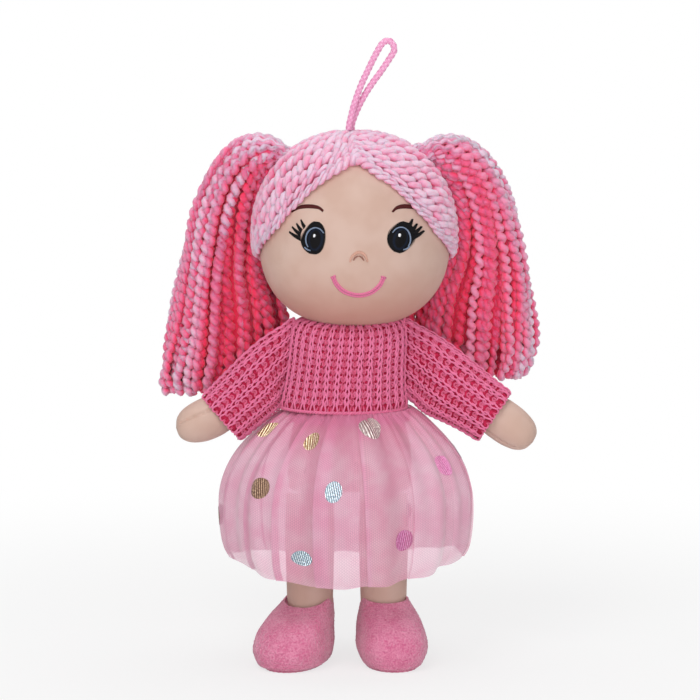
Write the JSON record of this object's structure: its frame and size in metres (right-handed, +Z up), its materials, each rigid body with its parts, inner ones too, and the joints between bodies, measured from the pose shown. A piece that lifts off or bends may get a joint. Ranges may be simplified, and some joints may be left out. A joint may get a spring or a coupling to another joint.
{
  "type": "rag doll",
  "caption": "Soft rag doll with yarn bunches, rib-knit jumper, gathered net skirt and plush shoes, with turning neck, nodding head and swinging limbs.",
  "frame": {"origin": "on the floor under the soles, midway between the outermost hair on both sides and between the skirt's front and back", "axes": "+Z up through the head, the face looks along -Y, and +X is to a viewer's right when the face is seen from the front"},
  "size_m": [0.1916, 0.1072, 0.3136],
  "materials": {
    "skin_cloth": "close-woven skin-coloured cotton, matt, with sewn seams",
    "hair_yarn": "thick two-ply pale pink yarn, soft and slightly fuzzy",
    "elastic": "covered elastic, matt",
    "satin_cord": "satin cord with a soft sheen",
    "knit_yarn": "chunky rib knit in deep pink yarn",
    "net": "sheer nylon net with foil dots",
    "plush": "short-pile plush"
  },
  "bodies": {
    "trunk": {"torso": "skin_cloth", "jumper_body": "knit_yarn", "skirt_waistband": "elastic", "skirt_net_outer": "net", "skirt_net_lining": "net"},
    "neck": {"neck": "skin_cloth"},
    "head": {"head": "skin_cloth", "hair_cap": "hair_yarn", "hanging_loop": "satin_cord"},
    "bunch_left": {"hair_bunch_left": "hair_yarn", "hair_tie_left": "elastic"},
    "bunch_right": {"hair_bunch_right": "hair_yarn", "hair_tie_right": "elastic"},
    "arm_left": {"arm_left": "skin_cloth", "sleeve_left": "knit_yarn"},
    "arm_right": {"arm_right": "skin_cloth", "sleeve_right": "knit_yarn"},
    "leg_left": {"leg_left": "skin_cloth", "shoe_left": "plush", "shoe_sole_left": "plush"},
    "leg_right": {"leg_right": "skin_cloth", "shoe_right": "plush", "shoe_sole_right": "plush"}
  },
  "joints": [
    {"name": "neck_turn", "type": "hinge", "parent": "trunk", "child": "neck", "pos_m": [0.0025, 0, 0.1763], "axis": [0, 0, 1], "range_deg": [-10, 10]},
    {"name": "head_nod", "type": "hinge", "parent": "neck", "child": "head", "pos_m": [0.0025, 0, 0.1763], "axis": [1, 0, 0], "range_deg": [-8, 15]},
    {"name": "bunch_left_lift", "type": "hinge", "parent": "head", "child": "bunch_left", "pos_m": [-0.0274, 0.002, 0.2667], "axis": [0, 1, 0], "range_deg": [0, 50]},
    {"name": "bunch_right_lift", "type": "hinge", "parent": "head", "child": "bunch_right", "pos_m": [0.0324, 0.002, 0.2667], "axis": [0, -1, 0], "range_deg": [0, 50]},
    {"name": "arm_left_swing", "type": "hinge", "parent": "trunk", "child": "arm_left", "pos_m": [-0.03, 0, 0.155], "axis": [0, 0, -1], "range_deg": [-38, 8]},
    {"name": "arm_right_swing", "type": "hinge", "parent": "trunk", "child": "arm_right", "pos_m": [0.03, 0, 0.155], "axis": [0, 0, 1], "range_deg": [-38, 8]},
    {"name": "leg_left_swing", "type": "hinge", "parent": "trunk", "child": "leg_left", "pos_m": [-0.0199, 0, 0.086], "axis": [1, 0, 0], "range_deg": [-75, 15], "deforming": ["skirt_net_outer", "skirt_net_lining"]},
    {"name": "leg_right_swing", "type": "hinge", "parent": "trunk", "child": "leg_right", "pos_m": [0.0171, 0, 0.086], "axis": [1, 0, 0], "range_deg": [-75, 15], "deforming": ["skirt_net_outer", "skirt_net_lining"]}
  ]
}
